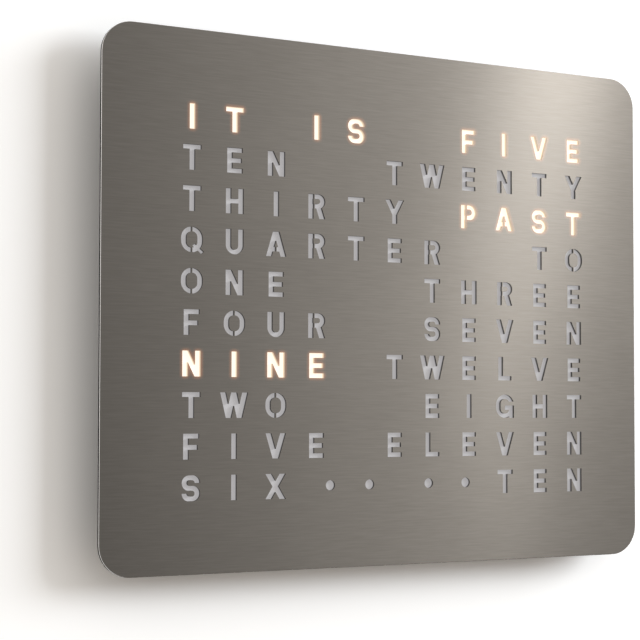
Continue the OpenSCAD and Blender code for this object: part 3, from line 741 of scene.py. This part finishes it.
led_body = finish("led_package", (0.86, 0.86, 0.84), 0.35)
uneven(led_body, 1, shade=0.03, gloss=0.05)
phosphor = finish("led_phosphor", (0.85, 0.66, 0.2), 0.25)
uneven(phosphor, 0.5, shade=0.06, gloss=0.05)
tree = phosphor.node_tree
lens_surface = tree.nodes["Principled BSDF"]
lens_surface.inputs["Emission Color"].default_value = (1, 0.82, 0.55, 1)
LENS_GLOW = 2.5
glow = worked_out(tree, "MULTIPLY", lit_part(tree), LENS_GLOW)
tree.links.new(glow, lens_surface.inputs["Emission Strength"])

LED_HALF = 2.5
PANEL_FRONT = 16.7
LED_FRONT = 17.9
first_x, first_z = column_x(0), row_z(0)
package = block(
    "led_rows",
    (first_x - LED_HALF, -LED_FRONT, first_z - LED_HALF),
    (first_x + LED_HALF, -PANEL_FRONT, first_z + LED_HALF),
    rounding=0.15,
)
lens = turned("led_lens", (first_x, 0, first_z), [
    (2.1, 17.8), (2, 18.1), (1.2, 18.3),
], sides=12)
package.data.materials.append(led_body)
package.data.materials.append(phosphor)
lens.data.materials.append(phosphor)
leds = joined([package, lens], "led_rows")
repeated(leds, COLUMNS, (COLUMN_PITCH, 0, 0))
repeated(leds, ROWS, (0, 0, -ROW_PITCH))
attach(leds, "housing")
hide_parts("leds")

# ---- Light grid ------------------------------------------------------------------------
# A moulded white grid on the LED panel gives each letter a light cell of its own, so
# that the light of one LED stays behind one letter.
grid_white = finish("grid_white", (0.86, 0.86, 0.85), 0.6)
uneven(grid_white, 25, shade=0.02)
uneven(grid_white, 0.8, gloss=0.06, depth=0.02)
repaint("light_grid", grid_white)

# ---- Control board ---------------------------------------------------------------------
# A green circuit board on four standoffs behind the rows of LEDs. Its copper tracks show
# through the solder mask.
solder_mask = finish("green_solder_mask", (0.02, 0.17, 0.075), 0.28)
uneven(solder_mask, 2.2, shade=0.22, gloss=0.04, depth=0.015, stretch=(9, 1, 1), detail=1)
uneven(solder_mask, 2.6, shade=0.15, stretch=(1, 1, 9), detail=1)
repaint("control_board", solder_mask)

stand_off(
    "board",
    [(s * 46, 0, z) for s in (-1, 1) for z in (-175, -132)],
    [(2.3, 8.1), (2.5, 8.3), (2.5, 9.9), (2.3, 10.1), (1.3, 10.1), (1.27, 8.4)],
    [
        (1.5, 13.3), (2, 13.1), (2.25, 12.7), (2.25, 11.7), (1.25, 11.7), (1.25, 8.8),
        (0.95, 8.5),
    ],
    socket_near=12.4,
    socket_far=13.5,
)

# ---- Controller module -----------------------------------------------------------------
# A small radio board with a tinned shield can over most of it. The gold tracks of a
# printed aerial lie at its right-hand end.
tin = finish("tinned_can", (0.62, 0.63, 0.645), 0.24, 1.0)
uneven(tin, 3, shade=0.05, gloss=0.08, depth=0.01)
dark_mask = finish("dark_solder_mask", (0.012, 0.03, 0.06), 0.3)
uneven(dark_mask, 1.5, shade=0.2, gloss=0.05, depth=0.01, stretch=(6, 1, 1), detail=1)
module_low, module_high = [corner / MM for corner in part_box("controller_module")]
board_face = module_high.y - 0.8
AERIAL_TRACKS = 5
TRACK_PITCH = 1.2
TRACK_WIDTH = 0.5
TRACK_T = 0.1
radio_board = block(
    "radio_board",
    (module_low.x, board_face, module_low.z),
    (module_high.x, module_high.y, module_high.z),
    rounding=0.1,
)
shield_can = block(
    "shield_can",
    (module_low.x + 1, module_low.y, module_low.z + 1),
    (module_high.x - 7.5, board_face, module_high.z - 1),
    rounding=0.5,
    segments=3,
)
tracks = []
for i in range(AERIAL_TRACKS):
    x = module_high.x - 6.5 + i * TRACK_PITCH
    tracks.append(block(
        f"aerial_{i}",
        (x, board_face - TRACK_T, module_low.z + 2),
        (x + TRACK_WIDTH, board_face, module_high.z - 2),
    ))
aerial = joined(tracks, "printed_aerial")
gold = finish("gold_pads", (0.78, 0.6, 0.28), 0.3, 1.0)
uneven(gold, 1, shade=0.05, gloss=0.06)
fit(radio_board, "housing", "controller_module", "module_shield", dark_mask)
fit(shield_can, "housing", "controller_module", "module_shield", tin)
fit(aerial, "housing", "controller_module", "module_shield", gold)

# ---- Clock chip ------------------------------------------------------------------------
# The chip that keeps the time for the controller: a black moulded body with eight tinned
# legs on each side.
chip_plastic = finish("chip_plastic", (0.026, 0.026, 0.028), 0.5)
uneven(chip_plastic, 0.3, shade=0.1, gloss=0.05, depth=0.01)
chip_low, chip_high = [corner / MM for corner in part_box("clock_chip")]
chip_body = block(
    "clock_chip_body",
    (chip_low.x, chip_low.y, chip_low.z + 1),
    (chip_high.x, chip_high.y - 0.15, chip_high.z - 1),
    rounding=0.25,
    segments=2,
)
LEGS = 8
LEG_PITCH = 1.27
LEG_STEP = 0.5
FOOT_T = 0.2
SHIN_HEIGHT = 1.2
leg_left = chip_low.x + 0.5
leg_right = chip_low.x + 0.9
upper_foot = chip_high.z - LEG_STEP
legs = []
for foot, shin in ((chip_low.z, chip_low.z + LEG_STEP), (upper_foot, upper_foot - LEG_STEP)):
    for name, level, height in (("leg_foot", foot, FOOT_T), ("leg_shin", shin, SHIN_HEIGHT)):
        low_corner = (leg_left, chip_high.y - height, level)
        high_corner = (leg_right, chip_high.y, level + LEG_STEP)
        legs.append(block(name, low_corner, high_corner))
chip_legs = joined(legs, "clock_chip_legs")
repeated(chip_legs, LEGS, (LEG_PITCH, 0, 0))
fit(chip_body, "housing", "clock_chip", "chip_plastic", chip_plastic)
fit(chip_legs, "housing", "clock_chip", "module_shield", tin)

# ---- Coin cell and its holder ----------------------------------------------------------
# A small lithium cell keeps the time through a power cut. It sits in a round black
# holder under a spring clip of nickel-plated steel.
HOLDER_X = 12
HOLDER_Z = -146
holder = turned("coin_holder", (HOLDER_X, 0, HOLDER_Z), [
    (8, 11.7), (8, 13.9), (7.6, 14.3), (6.4, 14.3), (6.4, 12.3),
], sides=48)
cell = turned("lithium_cell", (HOLDER_X, 0, HOLDER_Z), [
    (5.9, 12.3), (6.25, 12.5), (6.25, 14.1), (6.05, 14.3), (5.6, 14.3), (5.5, 14.2),
], sides=48)
clip = block(
    "cell_clip",
    (HOLDER_X - 1.6, -14.6, HOLDER_Z - 2),
    (HOLDER_X + 1.6, -14.3, HOLDER_Z + 7.8),
    rounding=0.1,
)
fit(holder, "housing", "coin_cell_holder", "chip_plastic", chip_plastic)
fit(clip, "housing", "coin_cell_holder", "magnet_nickel", nickel)
fit(cell, "housing", "coin_cell", "cell_steel", nickel)

# ---- Capacitor -------------------------------------------------------------------------
# A lying can in a dark blue shrink sleeve, with the rolled groove near its sealed end. It
# steadies the supply of the LEDs.
sleeve = finish("blue_sleeve", (0.03, 0.05, 0.15), 0.25)
uneven(sleeve, 2, shade=0.08, gloss=0.06, depth=0.01)
can = turned("capacitor_can", (12, -15.7, -172), [
    (2.9, -6), (3.7, -5.95), (4, -5.6), (4, -4.7), (3.75, -4.3), (3.75, -4), (4, -3.6),
    (4, 5.6), (3.7, 5.95), (3, 6), (2.9, 5.9),
], axis=TO_THE_RIGHT, sides=36)
fit(can, "housing", "capacitor", "capacitor_sleeve", sleeve)

# ---- Power jack ------------------------------------------------------------------------
# The socket for the plug-in supply opens downwards through the housing. Its body is
# black nylon and its centre pin is brass.
nylon = finish("black_nylon", (0.022, 0.022, 0.024), 0.38)
uneven(nylon, 0.5, shade=0.1, gloss=0.06, depth=0.012)
brass = finish("bare_brass", (0.8, 0.62, 0.3), 0.22, 1.0)
uneven(brass, 0.8, shade=0.05, gloss=0.07)
jack = merged_copy("power_jack", "jack_body")
ease_edges(jack, 0.3)
pin = turned("jack_centre_pin", (34, -14.95, 0), [
    (0.55, -182.5), (0.9, -182.35), (1.05, -181.9), (1.05, -173.2),
], axis=UP, sides=20)
fit(jack, "housing", "power_jack", "jack_plastic", nylon)
fit(pin, "housing", "jack_pin", "contact_brass", brass)

# ---- Key switches ----------------------------------------------------------------------
# Three small switches on the board's lower edge, each under a folded steel cover. Their
# plungers point down, towards the buttons.
switch_black = finish("switch_black", (0.03, 0.03, 0.032), 0.45)
uneven(switch_black, 0.4, shade=0.1, gloss=0.06, depth=0.01)
switches = merged_copy("key_switches", "switch_bodies")
ease_edges(switches, 0.2, segments=1)
fit(switches, "housing", "key_switches", "switch_plastic", switch_black)
SWITCH_PITCH = 14
switch_cover = block(
    "switch_covers", (-38.9, -18.85, -179.3), (-33.1, -18.7, -176.3), rounding=0.05
)
repeated(switch_cover, 3, (SWITCH_PITCH, 0, 0))
fit(switch_cover, "housing", "key_switches", "module_shield", tin)

# ---- Lead between the boards -----------------------------------------------------------
# A flat lead of six grey cores joins the control board and the LED panel. Each end has
# a cream nylon plug.
cream_nylon = finish("cream_nylon", (0.8, 0.77, 0.68), 0.45)
uneven(cream_nylon, 0.8, shade=0.04, gloss=0.05, depth=0.01)
jacket = finish("grey_jacket", (0.36, 0.36, 0.35), 0.5)
uneven(jacket, 0.8, shade=0.05, gloss=0.05, depth=0.01)
for node, name in (("board_header", "board_plug"), ("panel_header", "panel_plug")):
    plug = merged_copy(node, name)
    ease_edges(plug, 0.3)
    fit(plug, "housing", node, "header_plastic", cream_nylon)
CORES = 6
CORE_PITCH = 1.5
CORE_T = 0.8
STRAIGHT_END = 3
lead_low, lead_high = [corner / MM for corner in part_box("led_cable")]
lower_end = lead_high.y - CORE_T / 2
upper_end = lead_low.y + CORE_T / 2
lead_turns = [
    (lower_end, lead_low.z), (lower_end, lead_low.z + STRAIGHT_END),
    (upper_end, lead_high.z - STRAIGHT_END), (upper_end, lead_high.z),
]
first_core = (lead_low.x + CORE_PITCH / 2, *lead_turns[0])
bpy.ops.object.select_all(action="DESELECT")
bpy.ops.mesh.primitive_circle_add(
    vertices=12, radius=CORE_PITCH / 2 * MM, fill_type="NGON",
    location=[place * MM for place in first_core],
)
cores = bpy.context.object
cores.name = "flat_lead"
cores.scale.y = CORE_T / CORE_PITCH
bpy.ops.object.transform_apply(location=True, rotation=True, scale=True)
bpy.ops.object.mode_set(mode="EDIT")
bpy.ops.mesh.select_all(action="SELECT")
for i in range(1, len(lead_turns)):
    step = [(b - a) * MM for a, b in zip(lead_turns[i - 1], lead_turns[i])]
    bpy.ops.mesh.extrude_region_move(TRANSFORM_OT_translate={"value": (0, step[0], step[1])})
bpy.ops.mesh.select_all(action="SELECT")
bpy.ops.mesh.normals_make_consistent(inside=False)
bpy.ops.object.mode_set(mode="OBJECT")
bpy.ops.object.shade_smooth_by_angle(angle=math.radians(40))
repeated(cores, CORES, (CORE_PITCH, 0, 0))
fit(cores, "housing", "led_cable", "cable_jacket", jacket)

# ---- Buttons ---------------------------------------------------------------------------
# Three dark grey buttons come through the bottom of the housing. Each has a domed tip, a
# collar inside that keeps it in, and a stem that presses the red plunger of its switch.
button_grey = finish("button_grey", (0.05, 0.05, 0.055), 0.42)
uneven(button_grey, 0.35, shade=0.08, gloss=0.06, depth=0.01)
plunger_red = finish("plunger_red", (0.45, 0.07, 0.045), 0.4)
uneven(plunger_red, 0.5, shade=0.06, gloss=0.05)
BUTTON_DEPTH = -15.2
FIRST_BUTTON_X = -36
first_button = turned("hour_push_button", (FIRST_BUTTON_X, BUTTON_DEPTH, 0), [
    (0.9, -187.5), (1.6, -187.42), (2.1, -187.2), (2.4, -186.85), (2.5, -186.4), (2.5, -183.4),
    (4, -183.4), (4, -182.4), (1.7, -182.4), (1.7, -181),
], axis=UP)
first_plunger = turned("hour_switch_plunger", (FIRST_BUTTON_X, BUTTON_DEPTH, 0), [
    (1.5, -181), (1.7, -180.8), (1.7, -178.3),
], axis=UP, sides=24)
keys = [("hour", first_button, first_plunger)]
for i, word in enumerate(("minute", "mode"), 1):
    shift = (i * SWITCH_PITCH, 0, 0)
    button = moved_copy(first_button, f"{word}_push_button", shift)
    plunger = moved_copy(first_plunger, f"{word}_switch_plunger", shift)
    keys.append((word, button, plunger))
for word, button, plunger in keys:
    fit(button, f"{word}_key", f"{word}_button", "button_plastic", button_grey)
    fit(plunger, f"{word}_key", f"{word}_plunger", "plunger_plastic", plunger_red)

# ---- Locating studs --------------------------------------------------------------------
# Four steel studs are welded to the back of the plate and find their holes in the
# corners of the housing. Their tips are turned down to a taper.
stud_steel = finish("turned_stud", (0.62, 0.62, 0.63), 0.24, 1.0)
uneven(stud_steel, 0.4, shade=0.05, gloss=0.07, depth=0.004, stretch=(12, 1, 12))
first_stud = turned("plate_stud_0", FIRST_CORNER, [
    (1.5, 19), (1.9, 19.2), (2.5, 20.4), (2.5, 26.2), (2.7, 26.7), (3.2, 27),
])
for stud in with_copies(first_stud, OTHER_CORNERS):
    fit(stud, "front", "locating_studs", "stud_steel", stud_steel)

# ---- Diffuser --------------------------------------------------------------------------
# An opal acrylic sheet bonded to the back of the plate. In the dark cells a painted pale
# glow lightens it to a plain pale grey, and it glows warm white behind the lit words.
# The glow in the dark cells is painted light that lightens the unlit letters
PAINTED_DARK_CELL_GLOW = 0.33
LIT = 1.05
opal = finish("opal_acrylic", (0.262, 0.257, 0.258), 0.42)
uneven(opal, 30, shade=0.02)
uneven(opal, 0.6, gloss=0.05, depth=0.008)
tree = opal.node_tree
opal_surface = tree.nodes["Principled BSDF"]
lit = lit_part(tree)


def tint_glow(tree, surface, lit, warm):
    """Makes a glow a plain white in the dark cells and a warm one in the lit cells."""
    tint = mixed_colour(tree, lit, (0.97, 0.95, 0.97), warm)
    tree.links.new(tint, surface.inputs["Emission Color"])


tint_glow(tree, opal_surface, lit, (1, 0.88, 0.74))
strength = spread_over(tree, lit, 0, 1, PAINTED_DARK_CELL_GLOW, LIT)
place = tree.nodes.new("ShaderNodeTexCoord")
parts = tree.nodes.new("ShaderNodeSeparateXYZ")
tree.links.new(place.outputs["Object"], parts.inputs[0])
text_half = (COLUMNS / 2 * COLUMN_PITCH * MM, ROWS / 2 * ROW_PITCH * MM)
for axis, middle, half in (("X", TEXT_RIGHT, text_half[0]), ("Z", -TEXT_DOWN, text_half[1])):
    within = worked_out(tree, "COMPARE", parts.outputs[axis], middle * MM, half)
    strength = worked_out(tree, "MULTIPLY", strength, within)
tree.links.new(strength, opal_surface.inputs["Emission Strength"])
repaint("diffuser", opal)

# ---- Face plate ------------------------------------------------------------------------
# A 3 mm plate of stainless steel, brushed from side to side on its front. The laser left
# dull walls in the letters. The outer sides are painted near black, a painted shade, and the
# front rim is broken to a fine line painted far lighter than the steel, a painted highlight.
PLATE_BACK = 27
PLATE_FRONT = 30
RIM = 0.25
OUTER_BAND = 26
plate = merged_copy("face_plate", "brushed_face_plate")
plate_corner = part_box("face_plate")[1]


def outside(point):
    """Whether a point lies in the plate's outer band, where no letters are."""
    inner_x = plate_corner.x - OUTER_BAND * MM
    inner_z = plate_corner.z - OUTER_BAND * MM
    return abs(point.x) > inner_x or abs(point.z) > inner_z


def on_front_rim(a, b):
    """Whether an edge with these two ends lies on the rim of the plate's front."""
    nearly_front = -(PLATE_FRONT - 0.01) * MM
    return max(a.y, b.y) < nearly_front and outside(a) and outside(b)


pick_edges(plate, on_front_rim)
bpy.ops.mesh.bevel(offset=RIM * MM, segments=1)
bpy.ops.object.mode_set(mode="OBJECT")

brushed = finish("brushed_steel", (0.288, 0.264, 0.235), 0.295, 1.0)
tree = brushed.node_tree
brushed_surface = tree.nodes["Principled BSDF"]
brushed_surface.inputs["Anisotropic"].default_value = 0.9
tangent = tree.nodes.new("ShaderNodeTangent")
tangent.direction_type = "RADIAL"
tangent.axis = "X"
tree.links.new(tangent.outputs[0], brushed_surface.inputs["Tangent"])
uneven(brushed, 90, shade=0.03, gloss=0.005)
uneven(brushed, 1.1, shade=0.04, gloss=0.005, stretch=(16, 1, 1), detail=1)
uneven(brushed, 0.7, shade=0.035, gloss=0.005, stretch=(45, 1, 1), detail=1)

# A painted warm glow on the steel, for nearly three millimetres round the lit letters' front
# edges
HALO_REACH = 2.95
HALO_STRENGTH = 0.42
near_edge = tree.nodes.new("ShaderNodeAmbientOcclusion")
near_edge.inside = True
near_edge.only_local = True
near_edge.samples = 4
near_edge.inputs["Distance"].default_value = HALO_REACH * MM
closeness = spread_over(tree, near_edge.outputs["AO"], 0, 1, HALO_STRENGTH, 0)
painted_halo = worked_out(tree, "MULTIPLY", closeness, lit_part(tree))
brushed_surface.inputs["Emission Color"].default_value = (1, 0.34, 0.11, 1)
tree.links.new(painted_halo, brushed_surface.inputs["Emission Strength"])

# The walls of the lit letters have a painted glow over their whole depth. Those of the other
# letters have a faint painted glow close to the diffuser.
FAINT_FROM = 28.6
FAINT_TO = 27.6
cut_wall = finish("laser_cut_wall", (0.06, 0.055, 0.05), 0.5, 1.0)
uneven(cut_wall, 0.3, shade=0.15, gloss=0.08, depth=0.01, stretch=(1, 12, 1))
tree = cut_wall.node_tree
cut_surface = tree.nodes["Principled BSDF"]
place = tree.nodes.new("ShaderNodeTexCoord")
parts = tree.nodes.new("ShaderNodeSeparateXYZ")
tree.links.new(place.outputs["Object"], parts.inputs[0])
lit = lit_part(tree)
depth = parts.outputs["Y"]
painted_lit_wall_glow = spread_over(tree, depth, -PLATE_FRONT * MM, -PLATE_BACK * MM, 0.45, 0.95)
painted_dark_wall_glow = spread_over(tree, depth, -FAINT_FROM * MM, -FAINT_TO * MM, 0, 0.3)
unlit = worked_out(tree, "SUBTRACT", 1, lit)
painted_lit_wall_glow = worked_out(tree, "MULTIPLY", painted_lit_wall_glow, lit)
painted_dark_wall_glow = worked_out(tree, "MULTIPLY", painted_dark_wall_glow, unlit)
painted_wall_glow = worked_out(tree, "ADD", painted_lit_wall_glow, painted_dark_wall_glow)
tree.links.new(painted_wall_glow, cut_surface.inputs["Emission Strength"])
tint_glow(tree, cut_surface, lit, (1, 0.78, 0.55))

# The outer sides: near black with no shine, a painted shade
painted_shade_side = finish("painted_shade_side", (0.012, 0.011, 0.01), 0.6, specular=0)
uneven(painted_shade_side, 0.3, shade=0.15, gloss=0.08, depth=0.01, stretch=(1, 12, 1))
mill_back = finish("mill_back", (0.1, 0.096, 0.09), 0.55, 1.0)
uneven(mill_back, 12, shade=0.08, gloss=0.05)
# The rim's bevel is real; its colour is painted far lighter than the steel, a painted highlight
painted_highlight_rim = finish("painted_highlight_rim", (0.92, 0.89, 0.85), 0.25, 1.0)
uneven(painted_highlight_rim, 2, shade=0.08, gloss=0.05)

fit(plate, "front", "face_plate", "brushed_plate",
    brushed, cut_wall, painted_highlight_rim, painted_shade_side, mill_back)
BRUSHED_FRONT, LETTER_WALL, FRONT_RIM, OUTER_SIDE, BACK = range(5)
points = plate.data.vertices
for face in plate.data.polygons:
    facing = abs(face.normal.y)
    if facing > 0.95:
        face.material_index = BRUSHED_FRONT if face.normal.y < 0 else BACK
    elif facing > 0.1:
        face.material_index = FRONT_RIM
    else:
        at_side = outside(points[face.vertices[0]].co)
        face.material_index = OUTER_SIDE if at_side else LETTER_WALL
